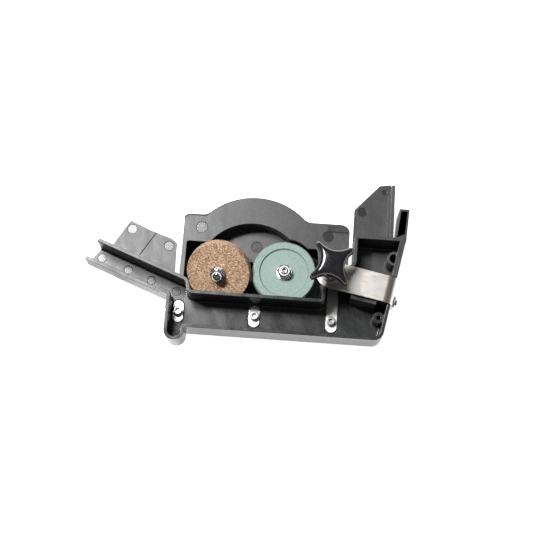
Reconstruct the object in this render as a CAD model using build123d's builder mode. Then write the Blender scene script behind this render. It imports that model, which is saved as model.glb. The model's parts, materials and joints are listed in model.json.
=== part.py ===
from build123d import *
import math
import os

# Blade sharpening attachment of a meat slicer, lying on its back with the working side up.
# Origin: centre of the flat base of the wheel box.  X: along the longest side, Z: up.
# Units: millimetres.

# ---------------------------------------------------------------- driving dimensions
# heights of the moulded housing
COVER_THICK = 3.0
WEB_TOP = 32.0
WEB_THICK = 2.5
WEB_BOTTOM = WEB_TOP - WEB_THICK
RIM = 55.0
ARM_LOW_RIM = 48.0
RECESS_FLOOR = 17.0
WALL = 2.7
FOOT_FILLET = 1.2
RIM_FILLET = 0.45

# wheels
WHEEL_DIA = 50.0
WHEEL_THICK = 8.0
GRIND_FACE = (-25.6, -15.9, 30.0)
GRIND_TILT = 35.0
GRIND_SWING = 10.0
TRUE_FACE = (25.4, -10.7, 27.0)
SPINDLE_DIA = 6.0

# arch plate and recess behind the wheels
ARCH_RADIUS = 54.0
ARCH_CENTRE = (1.0, -6.6)
ARCH_LEFT_BACK = 31.0
ARCH_RIGHT_BACK = 30.0
ARCH_RIGHT = 74.5
ARCH_FOOT_FILLET = 9.0
ARCH_BAND = 8.5
ARCH_BAND_DROP = 1.3
RECESS_RADIUS = 42.0
RECESS_CENTRE = (0.0, -16.5)

# wheel box below the web
BOX_LEFT = -55.2
BOX_RIGHT = 58.0
BOX_FRONT = -42.3
BOX_BACK = 30.5

# arm that leads the blade in
ARM_ANGLE = -20.6
ARM_END = -115.0
ARM_MOUTH = (-110.6, -50.8)
ARM_MOUTH_SKEW = -15.0
ARM_INNER_HIGH = -44.6
ARM_INNER_LOW = -56.9

# three screws and the stop rail under the web
RAIL_Y = -48.5
SCREW_X = (-53.6, 4.9, 63.5)
RAIL_DOWN = 2.0
RAIL_UP = 0.6
RAIL_WIDTH = 7.6
RAIL_THICK = 4.0
PLATE_WIDTH = 8.5
PLATE_LENGTH = 17.0
PLATE_THICK = 1.4
PLATE_SUNK = 0.8

# strap clamp
KNOB_AXIS = (60.0, -15.0)
WALL_LEAN = math.degrees(math.atan2(14.0, 74.7))
STRAP_ANGLE = -WALL_LEAN
STRAP_WIDTH = 20.8
STRAP_THICK = 1.2
STRAP_UNDER = 56.0
STRAP_SHIFT = -2.5
KNOB_RADIUS = 19.5
KNOB_WAIST = 9.6
TIP_RADIUS = 2.4
KNOB_HEIGHT = 26.0
STAR_HEIGHT = 13.0
HUB_RADIUS = 9.0
STUD_DIA = 6.0

os.makedirs("parts", exist_ok=True)


# ---------------------------------------------------------------- helpers
def save(name, part):
    """Label one finished piece and write it."""
    part.label = name
    export_step(part, "parts/" + name + ".step")


def arm_point(along, across):
    """A point given along and across the slanting arm."""
    angle = math.radians(ARM_ANGLE)
    x = along * math.cos(angle) - across * math.sin(angle)
    y = along * math.sin(angle) + across * math.cos(angle)
    return (x, y)


def strap_point(along, across):
    """A point given along and across the strap, measured from the knob's axis."""
    angle = math.radians(STRAP_ANGLE)
    x = KNOB_AXIS[0] + along * math.cos(angle) - across * math.sin(angle)
    y = KNOB_AXIS[1] + along * math.sin(angle) + across * math.cos(angle)
    return (x, y)


def section_of(axis_plane):
    """The plane that holds the axis: local x is the radius, local y runs along the axis."""
    return Plane(
        origin=axis_plane.origin,
        x_dir=axis_plane.x_dir,
        z_dir=axis_plane.x_dir.cross(axis_plane.z_dir),
    )


def turned(axis_plane, profile):
    """A turned solid from half a section, given as (radius, height along the axis)."""
    with BuildPart() as piece:
        with BuildSketch(section_of(axis_plane)):
            with BuildLine():
                Polyline(*profile, close=True)
            make_face()
        revolve(axis=Axis(axis_plane.origin, axis_plane.z_dir))
    return piece.part


def ring(axis_plane, low, high, outer, inner):
    """A plain ring about the axis."""
    return turned(axis_plane, [(inner, low), (outer, low), (outer, high), (inner, high)])


def right_wall_x(y):
    """Outer face of the right wall, which leans out from the Y direction."""
    return 102.6 + (y + 58.4) * math.tan(math.radians(WALL_LEAN))


# planes of the two wheel axes: origin in the middle of the wheel's face, z out of the wheel
tilt = math.radians(GRIND_TILT)
swing = math.radians(GRIND_SWING)
grind_normal = Vector(
    -math.sin(tilt) * math.sin(swing),
    -math.sin(tilt) * math.cos(swing),
    math.cos(tilt),
)
grind_side = Vector(math.cos(swing), -math.sin(swing), 0)
grind_plane = Plane(origin=GRIND_FACE, x_dir=grind_side, z_dir=grind_normal)
true_plane = Plane(origin=TRUE_FACE, x_dir=(1, 0, 0), z_dir=(0, 0, 1))


# ---------------------------------------------------------------- outlines of the housing
FOOT_X = -53.5
FOOT_Y = -67.5
FOOT_RADIUS = 4.9
TRAY_FRONT = -62.4
POCKET_WALL_FRONT = -39.1
POCKET_WALL_RIGHT = 57.6
POCKET_CORNER_BACK = arm_point(-35.0, ARM_INNER_HIGH)
POCKET_CORNER_FRONT = (-46.3, POCKET_WALL_FRONT)
POCKET_FRONT = POCKET_WALL_FRONT + WALL
POCKET_RIGHT = POCKET_WALL_RIGHT - WALL
POCKET_INNER_BACK = (-45.9, -27.5)
POCKET_INNER_FRONT = (-43.4, POCKET_FRONT)
POCKET_BACK = 8.3
POCKET_BACK_LEFT = -51.8
POCKET_BACK_RIGHT = 50.0
POCKET_SIDE_LEFT = -25.3
POCKET_SIDE_RIGHT = -26.0
ARCH_STEP = -6.0
ARCH_FRONT = -36.3
BAR_Y = 12.6
RIGHT_TRAY_LEFT = 79.8


def tray_floor():
    """Inner outline of tray and arm: the floor area inside the upright walls."""
    with BuildSketch() as floor:
        with BuildLine():
            Polyline(
                arm_point(ARM_END, ARM_INNER_HIGH),
                POCKET_CORNER_BACK,
                POCKET_CORNER_FRONT,
                (POCKET_WALL_RIGHT, POCKET_WALL_FRONT),
                (POCKET_WALL_RIGHT, -12.0),
                (RIGHT_TRAY_LEFT, -12.0),
                (RIGHT_TRAY_LEFT, BAR_Y),
                (right_wall_x(BAR_Y) - WALL, BAR_Y),
                (right_wall_x(TRAY_FRONT) - WALL, TRAY_FRONT),
                (FOOT_X + FOOT_RADIUS, TRAY_FRONT),
                (FOOT_X + FOOT_RADIUS, FOOT_Y - FOOT_RADIUS),
                (FOOT_X - FOOT_RADIUS, FOOT_Y - FOOT_RADIUS),
                (FOOT_X - FOOT_RADIUS, -41.5),
                arm_point(-41.5, ARM_INNER_LOW),
                arm_point(ARM_END, ARM_INNER_LOW),
                close=True,
            )
        make_face()
        corners = floor.vertices()
        foot = corners.sort_by(Axis.Y)[:2]
        fillet(foot, FOOT_RADIUS - 0.3)
        fillet(floor.vertices().sort_by_distance((99.0, TRAY_FRONT))[0], 5)
        fillet(floor.vertices().sort_by_distance((RIGHT_TRAY_LEFT, -12.0))[0], 7)
        fillet(floor.vertices().sort_by_distance((POCKET_WALL_RIGHT, POCKET_WALL_FRONT))[0], 4)
        fillet(floor.vertices().sort_by_distance(POCKET_CORNER_BACK)[0], 3)
        fillet(floor.vertices().sort_by_distance(POCKET_CORNER_FRONT)[0], 5.5)
        fillet(floor.vertices().sort_by_distance((FOOT_X + FOOT_RADIUS, TRAY_FRONT))[0], 3)
    return floor.sketch


def crown(centre, radius, front):
    """The part of a disc that lies behind the line y = front."""
    with BuildSketch() as disc:
        with Locations(centre):
            Circle(radius)
        with Locations((centre[0], front - radius * 2)):
            Rectangle(radius * 4, radius * 4, mode=Mode.SUBTRACT)
    return disc.sketch


def arch_outline(inset):
    """Plate behind the wheels, its back edge drawn in: straight shoulders and a round crown."""
    radius = ARCH_RADIUS - inset
    left_back = ARCH_LEFT_BACK - inset
    right_back = ARCH_RIGHT_BACK - inset
    left_reach = math.sqrt(radius**2 - (left_back - ARCH_CENTRE[1]) ** 2)
    right_reach = math.sqrt(radius**2 - (right_back - ARCH_CENTRE[1]) ** 2)
    left_foot = (ARCH_CENTRE[0] - left_reach, left_back)
    right_foot = (ARCH_CENTRE[0] + right_reach, right_back)
    with BuildSketch() as arch:
        with BuildLine():
            Polyline(
                right_foot,
                (ARCH_RIGHT, right_back),
                (ARCH_RIGHT, ARCH_STEP),
                (BOX_RIGHT, ARCH_STEP),
                (BOX_RIGHT, ARCH_FRONT),
                (BOX_LEFT, ARCH_FRONT),
                (BOX_LEFT, left_back),
                left_foot,
            )
            ThreePointArc(
                left_foot, (ARCH_CENTRE[0], ARCH_CENTRE[1] + radius), right_foot
            )
        make_face()
        for foot in (left_foot, right_foot):
            fillet(arch.vertices().sort_by_distance(foot)[0], ARCH_FOOT_FILLET + inset)
    return arch.sketch


def arch_plate():
    """The plate with a broad shallow slope along its back edge."""
    band_foot = WEB_TOP - ARCH_BAND_DROP
    with BuildPart() as plate:
        with BuildSketch(Plane.XY.offset(WEB_BOTTOM)):
            add(arch_outline(0.0))
        extrude(amount=band_foot - WEB_BOTTOM)
        with BuildSketch(Plane.XY.offset(band_foot)):
            add(arch_outline(0.0))
        with BuildSketch(Plane.XY.offset(WEB_TOP)):
            add(arch_outline(ARCH_BAND))
        loft(ruled=True)
        with BuildSketch(Plane.XY.offset(WEB_BOTTOM)) as limits:
            add(arch_outline(0.0))
            fillet(limits.vertices().sort_by_distance((ARCH_RIGHT, ARCH_RIGHT_BACK))[0], 7)
            fillet(limits.vertices().sort_by_distance((BOX_LEFT, ARCH_LEFT_BACK))[0], 4)
        extrude(amount=WEB_THICK, mode=Mode.INTERSECT)
    return plate.part


def pocket_outline():
    """Opening that the two wheels stand in."""
    with BuildSketch() as pocket:
        with BuildLine():
            Polyline(
                (POCKET_BACK_LEFT, POCKET_BACK),
                (POCKET_BACK_RIGHT, POCKET_BACK),
                (POCKET_RIGHT, POCKET_SIDE_RIGHT),
                (POCKET_RIGHT, POCKET_FRONT),
                POCKET_INNER_FRONT,
                POCKET_INNER_BACK,
                (POCKET_BACK_LEFT, POCKET_SIDE_LEFT),
                close=True,
            )
        make_face()
        fillet(pocket.vertices().sort_by_distance((POCKET_RIGHT, POCKET_FRONT))[0], 4)
        fillet(pocket.vertices().sort_by_distance((POCKET_BACK_LEFT, POCKET_BACK))[0], 1.5)
        fillet(pocket.vertices().sort_by_distance((POCKET_BACK_RIGHT, POCKET_BACK))[0], 1.5)
        fillet(pocket.vertices().sort_by_distance(POCKET_INNER_BACK)[0], 3)
        fillet(pocket.vertices().sort_by_distance(POCKET_INNER_FRONT)[0], 4)
    return pocket.sketch


def box_outline(inset):
    """Wheel box below the web, drawn in by the given amount."""
    with BuildSketch() as box:
        with BuildLine():
            Polyline(
                (BOX_RIGHT, BOX_BACK - 1),
                (BOX_RIGHT, BOX_FRONT),
                (BOX_LEFT, BOX_FRONT),
                (BOX_LEFT, BOX_BACK - 1),
                close=True,
            )
        make_face()
        fillet(box.vertices(), 5)
        add(crown(ARCH_CENTRE, ARCH_RADIUS - 0.8, 10.0))
        if inset > 0:
            offset(amount=-inset, mode=Mode.REPLACE)
    return box.sketch


# ---------------------------------------------------------------- housing
COVER_SCREWS = ((-49.0, -36.4), (51.8, -36.4), (-49.0, 23.8), (51.8, 23.8))
SCREW_BOSS_RADIUS = 4.0
BOSS_TOP = -10.5
BOSS_LOW = -23.0
BOSS_RADIUS = 10.5
SPRING_BORE = 8.6
RECESS_FRONT = -1.8
CLAMP_BOSS_RADIUS = 7.5
CLAMP_BOSS_TOP = 53.0
INSERT_RADIUS = 4.5
INSERT_LOW = 41.0
WALL_REACH = 49.87
SADDLE_START = 19.5
SADDLE_END = 39.3
SADDLE_BACK = 6.0
SADDLE_FRONT = -16.0
STRAP_SCREW_T = -8.5
STRAP_SCREW_Z = 44.0
STRAP_BOSS_RADIUS = 5.5
NOTCH_TOP = 50.0
STRIP_X = 64.0
STRIP_BACK = -20.0
THICK_WALL = 4.2
WALL_BOSS = (98.8, -45.6)
WALL_BOSS_RADIUS = 4.4
WALL_BOSS_TOP = 45.0
HALF_BOSS_RADIUS = 5.6
HALF_BOSS_TOP = 50.0
SLOT_WIDTH = 4.6
FIN_WALL_LEFT = 103.5
FIN_WALL_RIGHT = 106.3
FIN_WALL_BACK = 57.0
LEFT_TAB = [(-111.5, -3.4), (-96.9, 21.7), (-81.6, 14.9), (-63.3, 8.8), (-59.3, 5.6), (-59.3, -23.0)]
FIN = [(77.0, 14.0), (77.0, 42.4), (96.1, 63.7), (104.5, 65.0), (106.3, 62.0), (106.3, 14.0)]
TAB_GROOVE = ((-76.0, 13.35), (-75.7, 13.2), (-87.2, -6.0), (-87.5, -5.85))
TAB_GROOVE_DEPTH = 0.2
# round ejector marks: x, y, radius
WEB_MARKS = (
    (-41.0, 20.0, 4.4),
    (58.0, 19.3, 4.4),
    (-95.0, 14.5, 3.8),
    (-65.3, 2.8, 3.8),
    (83.4, 41.2, 3.6),
    (100.0, 58.5, 2.0),
)
ARM_MARK_ALONG = (-105.0, -82.3, -62.4, -41.1)
MARK_DEPTH = 0.3


def obround(centre, width, length):
    """A slot outline, long in Y."""
    with BuildSketch() as slot:
        with Locations(centre):
            SlotOverall(length, width, rotation=90)
    return slot.sketch


def along_strap(along, across, height):
    """Plane square to the strap's length, its z pointing along the strap."""
    angle = math.radians(STRAP_ANGLE)
    place = strap_point(along, across)
    return Plane(
        origin=(place[0], place[1], height),
        x_dir=(-math.sin(angle), math.cos(angle), 0),
        z_dir=(math.cos(angle), math.sin(angle), 0),
    )


def strap_box(start, end, front, back, low, high):
    """A block that lies square to the strap."""
    with BuildPart() as block:
        with BuildSketch(Plane.XY.offset(low)):
            middle = strap_point((start + end) / 2, (front + back) / 2)
            with Locations(Location(middle, STRAP_ANGLE)):
                Rectangle(end - start, back - front)
        extrude(amount=high - low)
    return block.part


with BuildPart() as housing:
    # upright walls round the tray and the arm
    with BuildSketch(Plane.XY.offset(WEB_BOTTOM)):
        add(tray_floor())
        offset(amount=WALL, kind=Kind.INTERSECTION, mode=Mode.REPLACE)
    extrude(amount=RIM - WEB_BOTTOM)
    # plate behind the wheels
    add(arch_plate())
    # left tab
    with BuildSketch(Plane.XY.offset(WEB_BOTTOM)) as tab_sketch:
        with BuildLine():
            Polyline(*LEFT_TAB, close=True)
        make_face()
        for corner in LEFT_TAB[1:5]:
            fillet(tab_sketch.vertices().sort_by_distance(corner)[0], 2)
    extrude(amount=WEB_THICK)
    # fin at the right
    with BuildSketch(Plane.XY.offset(WEB_BOTTOM)) as fin_sketch:
        with BuildLine():
            Polyline(*FIN, close=True)
        make_face()
        for corner in FIN[2:4]:
            fillet(fin_sketch.vertices().sort_by_distance(corner)[0], 1.5)
    extrude(amount=WEB_THICK)
    # upright flange along the fin's right side
    with BuildSketch(Plane.XY.offset(WEB_BOTTOM)):
        with BuildLine():
            Polyline(
                (FIN_WALL_LEFT, BAR_Y + 1.0),
                (FIN_WALL_LEFT, FIN_WALL_BACK),
                (FIN_WALL_RIGHT, FIN_WALL_BACK),
                (FIN_WALL_RIGHT, BAR_Y + 1.0),
                close=True,
            )
        make_face()
    extrude(amount=RIM - WEB_BOTTOM)
    # grooved guide that stands up beyond the right wall
    with BuildSketch(Plane.XY.offset(WEB_BOTTOM)):
        with BuildLine():
            Polyline(
                (108.6, 12.0),
                (110.4, 38.3),
                (117.9, 38.3),
                (right_wall_x(14.0), 12.0),
                close=True,
            )
        make_face()
    extrude(amount=RIM - WEB_BOTTOM)
    with BuildSketch(Plane.XY.offset(WEB_TOP)):
        with BuildLine():
            Polyline((110.6, 18.6), (111.8, 36.4), (116.1, 36.4), (114.8, 18.6), close=True)
        make_face()
    extrude(amount=RIM - WEB_TOP, mode=Mode.SUBTRACT)
    # small round swelling in the wall between tray and fin
    with BuildSketch(Plane.XY.offset(WEB_BOTTOM)):
        with Locations((91.7, BAR_Y + 1.6)):
            Circle(3.2)
    extrude(amount=RIM - WEB_BOTTOM)
    # the tray and the channel of the arm
    with BuildSketch(Plane.XY.offset(WEB_TOP)):
        add(tray_floor())
    extrude(amount=RIM - WEB_TOP, mode=Mode.SUBTRACT)
    # the arm's open mouth is cut on a skew, and its outer wall is the lower one
    with BuildSketch(Plane.XY.offset(WEB_BOTTOM)):
        with Locations(Location(arm_point(*ARM_MOUTH), ARM_ANGLE + ARM_MOUTH_SKEW)):
            with Locations((-10.0, 0.0)):
                Rectangle(20.0, 40.0)
    extrude(amount=RIM - WEB_BOTTOM, mode=Mode.SUBTRACT)
    with BuildSketch(Plane.XY.offset(ARM_LOW_RIM)):
        with Locations(Location(arm_point(-83.0, -60.0), ARM_ANGLE)):
            Rectangle(66.0, 9.0)
    extrude(amount=RIM - ARM_LOW_RIM, mode=Mode.SUBTRACT)
    # rounded feet of the tray's walls and softened rims
    floor_line = tray_floor().face().outer_wire().moved(Location((0, 0, WEB_TOP)))
    level_edges = housing.edges().filter_by_position(Axis.Z, WEB_TOP - 0.01, WEB_TOP + 0.01)
    feet = [edge for edge in level_edges if floor_line.distance_to(edge @ 0.5) < 0.02]
    fillet(feet, FOOT_FILLET)
    rim_line = floor_line.moved(Location((0, 0, RIM - WEB_TOP)))
    rims = housing.edges().filter_by_position(Axis.Z, RIM - 0.01, RIM + 0.01)
    fillet([edge for edge in rims if rim_line.distance_to(edge @ 0.5) < 0.02], RIM_FILLET)
    # wheel box below the web
    with BuildSketch(Plane.XY.offset(COVER_THICK)):
        add(box_outline(0))
    extrude(amount=WEB_TOP - COVER_THICK)
    with BuildSketch(Plane.XY.offset(COVER_THICK)):
        add(box_outline(WALL))
    extrude(amount=WEB_BOTTOM - COVER_THICK, mode=Mode.SUBTRACT)
    # bosses for the cover's screws
    with BuildSketch(Plane.XY.offset(COVER_THICK)):
        with Locations(*COVER_SCREWS):
            Circle(SCREW_BOSS_RADIUS)
    extrude(amount=WEB_BOTTOM - COVER_THICK)
    with BuildSketch(Plane.XY.offset(COVER_THICK)):
        with Locations(*COVER_SCREWS):
            Circle(1.5)
    extrude(amount=14.0, mode=Mode.SUBTRACT)
    # opening for the wheels
    with BuildSketch(Plane.XY.offset(WEB_BOTTOM)):
        add(pocket_outline())
    extrude(amount=RIM - WEB_BOTTOM, mode=Mode.SUBTRACT)
    # recess behind the wheels, with its own floor
    with BuildSketch(Plane.XY.offset(RECESS_FLOOR - WEB_THICK)):
        add(crown(RECESS_CENTRE, RECESS_RADIUS + WALL, RECESS_FRONT))
    extrude(amount=WEB_TOP - RECESS_FLOOR + WEB_THICK)
    with BuildSketch(Plane.XY.offset(RECESS_FLOOR)):
        add(crown(RECESS_CENTRE, RECESS_RADIUS, RECESS_FRONT))
        with Locations((0.0, (RECESS_FRONT + POCKET_BACK) / 2)):
            Rectangle(101.0, POCKET_BACK - RECESS_FRONT)
    extrude(amount=WEB_TOP - RECESS_FLOOR, mode=Mode.SUBTRACT)
    # guide bosses of the two plungers, held by the recess floor
    for axis_plane in (grind_plane, true_plane):
        with BuildSketch(axis_plane.offset(BOSS_LOW)):
            Circle(BOSS_RADIUS)
        extrude(amount=BOSS_TOP - BOSS_LOW)
    with BuildSketch(Plane.XY.offset(RECESS_FLOOR - WEB_THICK)):
        with Locations((TRUE_FACE[0], -3.0)):
            Rectangle(2 * BOSS_RADIUS, 8.0)
    extrude(amount=WEB_THICK - 0.5)
    for axis_plane in (grind_plane, true_plane):
        with BuildSketch(axis_plane.offset(BOSS_LOW - 6.0)):
            Circle(SPRING_BORE)
        extrude(amount=BOSS_TOP - BOSS_LOW + 6.0, mode=Mode.SUBTRACT)
        with BuildSketch(axis_plane.offset(BOSS_TOP)):
            Circle(BOSS_RADIUS + 1.5)
        extrude(amount=9.0, mode=Mode.SUBTRACT)
    # clearance round the truing wheel
    with BuildSketch(Plane.XY.offset(RECESS_FLOOR)):
        with Locations(TRUE_FACE[:2]):
            Circle(WHEEL_DIA / 2 + 0.8)
    extrude(amount=WEB_TOP - RECESS_FLOOR, mode=Mode.SUBTRACT)
    # clamp boss under the knob, and the hollow saddle under the strap
    with BuildSketch(Plane.XY.offset(WEB_BOTTOM)):
        with Locations(KNOB_AXIS):
            Circle(CLAMP_BOSS_RADIUS)
    extrude(amount=CLAMP_BOSS_TOP - WEB_BOTTOM)
    add(strap_box(SADDLE_START, SADDLE_END, SADDLE_FRONT, SADDLE_BACK, WEB_BOTTOM, RIM))
    add(
        strap_box(
            SADDLE_START + WALL,
            SADDLE_END - WALL,
            SADDLE_FRONT + WALL,
            SADDLE_BACK - WALL,
            WEB_TOP + 2.0,
            RIM,
        ),
        mode=Mode.SUBTRACT,
    )
    # the right wall is thicker behind the strap
    with BuildSketch(Plane.XY.offset(WEB_TOP - 0.5)):
        with BuildLine():
            Polyline(
                (right_wall_x(-30.0) - THICK_WALL, -30.0),
                (right_wall_x(-30.0) - 1.0, -30.0),
                (right_wall_x(BAR_Y) - 1.0, BAR_Y + 0.5),
                (right_wall_x(BAR_Y) - THICK_WALL, BAR_Y + 0.5),
                close=True,
            )
        make_face()
    extrude(amount=RIM - WEB_TOP + 0.5)
    # small round boss on a rib in front of the strap
    with BuildSketch(Plane.XY.offset(WEB_TOP - 0.5)):
        with Locations(WALL_BOSS):
            Circle(WALL_BOSS_RADIUS)
        with Locations(((WALL_BOSS[0] + right_wall_x(WALL_BOSS[1])) / 2 - 0.5, WALL_BOSS[1])):
            Rectangle(right_wall_x(WALL_BOSS[1]) - WALL_BOSS[0] - 1.0, 5.0)
    extrude(amount=WALL_BOSS_TOP - WEB_TOP + 0.5)
    with BuildSketch(Plane.XY.offset(WEB_TOP + 1.0)):
        with Locations(WALL_BOSS):
            Circle(1.6)
    extrude(amount=WALL_BOSS_TOP - WEB_TOP, mode=Mode.SUBTRACT)
    # notch in the right wall where the strap bends over it, and the boss of its screw
    add(
        strap_box(WALL_REACH - 6.0, WALL_REACH + 3.0, -13.6, 8.6, NOTCH_TOP, RIM),
        mode=Mode.SUBTRACT,
    )
    with BuildSketch(along_strap(WALL_REACH - 8.0, STRAP_SCREW_T, STRAP_SCREW_Z)):
        Circle(STRAP_BOSS_RADIUS)
    extrude(amount=7.0)
    with BuildSketch(along_strap(SADDLE_END, STRAP_SCREW_T, STRAP_SCREW_Z)):
        Circle(2.1)
    extrude(amount=14.0, mode=Mode.SUBTRACT)
    with BuildSketch(along_strap(WALL_REACH - 8.0, STRAP_SCREW_T, STRAP_SCREW_Z)):
        RegularPolygon(3.55, 6, major_radius=False)
    extrude(amount=3.3, mode=Mode.SUBTRACT)
    # half-round boss on the inside of the right wall
    with BuildSketch(Plane.XY.offset(WEB_TOP)):
        with Locations((right_wall_x(0.0) - THICK_WALL - 1.0, 0.0)):
            Circle(HALF_BOSS_RADIUS)
        with Locations((right_wall_x(0.0) + 9.0, 0.0)):
            Rectangle(20.0, 20.0, mode=Mode.SUBTRACT)
    extrude(amount=HALF_BOSS_TOP - WEB_TOP)
    with BuildSketch(Plane.XY.offset(WEB_TOP + 2.0)):
        with Locations((right_wall_x(0.0) - THICK_WALL - 1.0, 0.0)):
            Circle(HALF_BOSS_RADIUS - 2.2)
        with Locations((right_wall_x(0.0) - THICK_WALL + 6.0, 0.0)):
            Rectangle(12.0, 20.0, mode=Mode.SUBTRACT)
    extrude(amount=HALF_BOSS_TOP - WEB_TOP, mode=Mode.SUBTRACT)
    # hole for the knob's threaded insert
    with BuildSketch(Plane.XY.offset(INSERT_LOW)):
        with Locations(KNOB_AXIS):
            Circle(INSERT_RADIUS)
    extrude(amount=CLAMP_BOSS_TOP - INSERT_LOW, mode=Mode.SUBTRACT)
    with BuildSketch(Plane.XY.offset(INSERT_LOW - 3.0)):
        with Locations(KNOB_AXIS):
            Circle(STUD_DIA / 2 + 0.4)
    extrude(amount=3.0, mode=Mode.SUBTRACT)
    with BuildSketch(Plane.XY.offset(CLAMP_BOSS_TOP)):
        with Locations(KNOB_AXIS):
            Circle(CLAMP_BOSS_RADIUS)
    extrude(amount=RIM - CLAMP_BOSS_TOP, mode=Mode.SUBTRACT)
    # sunk seats for the two short plates and the long strip, and the slots for their screws
    rail_stroke = RAIL_UP + RAIL_DOWN
    rail_middle = RAIL_Y + (RAIL_UP - RAIL_DOWN) / 2
    with BuildSketch(Plane.XY.offset(WEB_TOP - PLATE_SUNK)):
        for screw_x in SCREW_X[:2]:
            add(obround((screw_x, rail_middle), PLATE_WIDTH + 0.6, PLATE_LENGTH + rail_stroke + 0.5))
    extrude(amount=PLATE_SUNK + FOOT_FILLET, mode=Mode.SUBTRACT)
    strip_low = RAIL_Y - PLATE_LENGTH / 2 - RAIL_DOWN - 0.3
    with BuildSketch(Plane.XY.offset(WEB_TOP - PLATE_SUNK)):
        middle = (STRIP_X, (strip_low + STRIP_BACK + 3.0) / 2)
        add(obround(middle, PLATE_WIDTH + 0.6, STRIP_BACK + 3.0 - strip_low))
    extrude(amount=PLATE_SUNK + 2.2, mode=Mode.SUBTRACT)
    with BuildSketch(Plane.XY.offset(WEB_BOTTOM)):
        for screw_x in SCREW_X:
            add(obround((screw_x, rail_middle), SLOT_WIDTH, SLOT_WIDTH + rail_stroke))
    extrude(amount=WEB_THICK, mode=Mode.SUBTRACT)
    # shallow step line across the left tab
    with BuildSketch(Plane.XY.offset(WEB_TOP - TAB_GROOVE_DEPTH)):
        with BuildLine():
            Polyline(*TAB_GROOVE, close=True)
        make_face()
    extrude(amount=TAB_GROOVE_DEPTH, mode=Mode.SUBTRACT)
    # two small index ticks beside the middle plate
    with BuildSketch(Plane.XY.offset(WEB_TOP)):
        with Locations((-1.2, -48.2), (-1.0, -51.2)):
            Rectangle(2.2, 0.7)
    extrude(amount=0.5)
    # round ejector marks
    with BuildSketch(Plane.XY.offset(WEB_TOP - MARK_DEPTH)):
        for x, y, radius in WEB_MARKS:
            with Locations((x, y)):
                Circle(radius)
        for along in ARM_MARK_ALONG:
            with Locations(arm_point(along, (ARM_INNER_HIGH + ARM_INNER_LOW) / 2)):
                Circle(3.3)
    extrude(amount=MARK_DEPTH, mode=Mode.SUBTRACT)
    with BuildSketch(Plane.XY.offset(RECESS_FLOOR - MARK_DEPTH)):
        with Locations((2.6, 11.1)):
            Circle(4.3)
    extrude(amount=MARK_DEPTH, mode=Mode.SUBTRACT)
save("housing", housing.part)

# ---------------------------------------------------------------- rear cover and its screws
COVER_HEAD_RADIUS = 3.4
FINGER_WIDTH = 19.5
FINGER_LENGTH = 26.0
finger_middle = Vector(GRIND_FACE) + grind_normal * (BOSS_LOW - 6.0)

with BuildPart() as rear_cover:
    with BuildSketch():
        add(box_outline(0))
    extrude(amount=COVER_THICK - 0.05)
    with BuildSketch(Plane.XY.offset(COVER_THICK - 0.05)):
        add(box_outline(WALL + 0.4))
        offset(amount=-1.4, mode=Mode.SUBTRACT)
        with Locations(*COVER_SCREWS):
            Circle(SCREW_BOSS_RADIUS + 0.6, mode=Mode.SUBTRACT)
    extrude(amount=1.6)
    # round hole of the truing wheel's button and finger opening of the grinding wheel's button
    with BuildSketch():
        with Locations(TRUE_FACE[:2]):
            Circle(SPRING_BORE + 0.6)
        add(obround((finger_middle.X, finger_middle.Y + 3.0), FINGER_WIDTH, FINGER_LENGTH))
    extrude(amount=COVER_THICK + 2.0, mode=Mode.SUBTRACT)
    with BuildSketch():
        with Locations(*COVER_SCREWS):
            Circle(1.9)
    extrude(amount=COVER_THICK + 2.0, mode=Mode.SUBTRACT)
    for place in COVER_SCREWS:
        add(
            turned(
                Plane(origin=(place[0], place[1], 0.0)),
                [(0.0, 0.0), (COVER_HEAD_RADIUS + 0.2, 0.0), (1.8, 1.8), (0.0, 1.8)],
            ),
            mode=Mode.SUBTRACT,
        )
    chamfer(rear_cover.faces().sort_by(Axis.Z)[0].outer_wire().edges(), 0.6)
save("rear_cover", rear_cover.part)

with BuildPart() as cover_screws:
    for place in COVER_SCREWS:
        base = Plane(origin=(place[0], place[1], 0.15))
        add(
            turned(
                base,
                [(0.0, 0.0), (COVER_HEAD_RADIUS, 0.0), (1.5, 1.9), (1.5, 12.0), (0.0, 13.0)],
            )
        )
        with BuildSketch(base):
            Rectangle(3.6, 0.8)
            Rectangle(0.8, 3.6)
        extrude(amount=1.1, mode=Mode.SUBTRACT)
save("cover_screws", cover_screws.part)

# ---------------------------------------------------------------- the two wheels and their plungers
FLANGE_RADIUS = 8.0
FLANGE_BOTTOM = -9.5
PLUNGER_RADIUS = 6.0
PLUNGER_TOP = -10.0
FOOT_TOP = -21.0
FOOT_BOTTOM = -23.0
BUTTON_FACE = -26.0
FOOT_FIT = 0.05
BUSH_RADIUS = 4.5
CHAMBER_RADIUS = 5.2
CHAMBER_TOP = -20.2
SLEEVE_BOTTOM = -13.5
WASHER_RADIUS = 6.0
WASHER_THICK = 1.2
NUT_ACROSS = 10.0
NUT_HEIGHT = 6.0
CUP_RADIUS = 19.0
CUP_DEPTH = 1.5


def hexagon(plane, across, low, high, bore):
    """A hexagonal block with a round bore, its upper corners chamfered."""
    with BuildPart() as block:
        with BuildSketch(plane.offset(low)):
            RegularPolygon(across / 2, 6, major_radius=False)
            Circle(bore, mode=Mode.SUBTRACT)
        extrude(amount=high - low)
        corner = across / 2 / math.cos(math.pi / 6)
        cap = turned(
            plane,
            [(0.0, low), (corner, low), (corner, high - 0.7), (across / 2 - 0.3, high), (0.0, high)],
        )
        add(cap, mode=Mode.INTERSECT)
    return block.part


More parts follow.
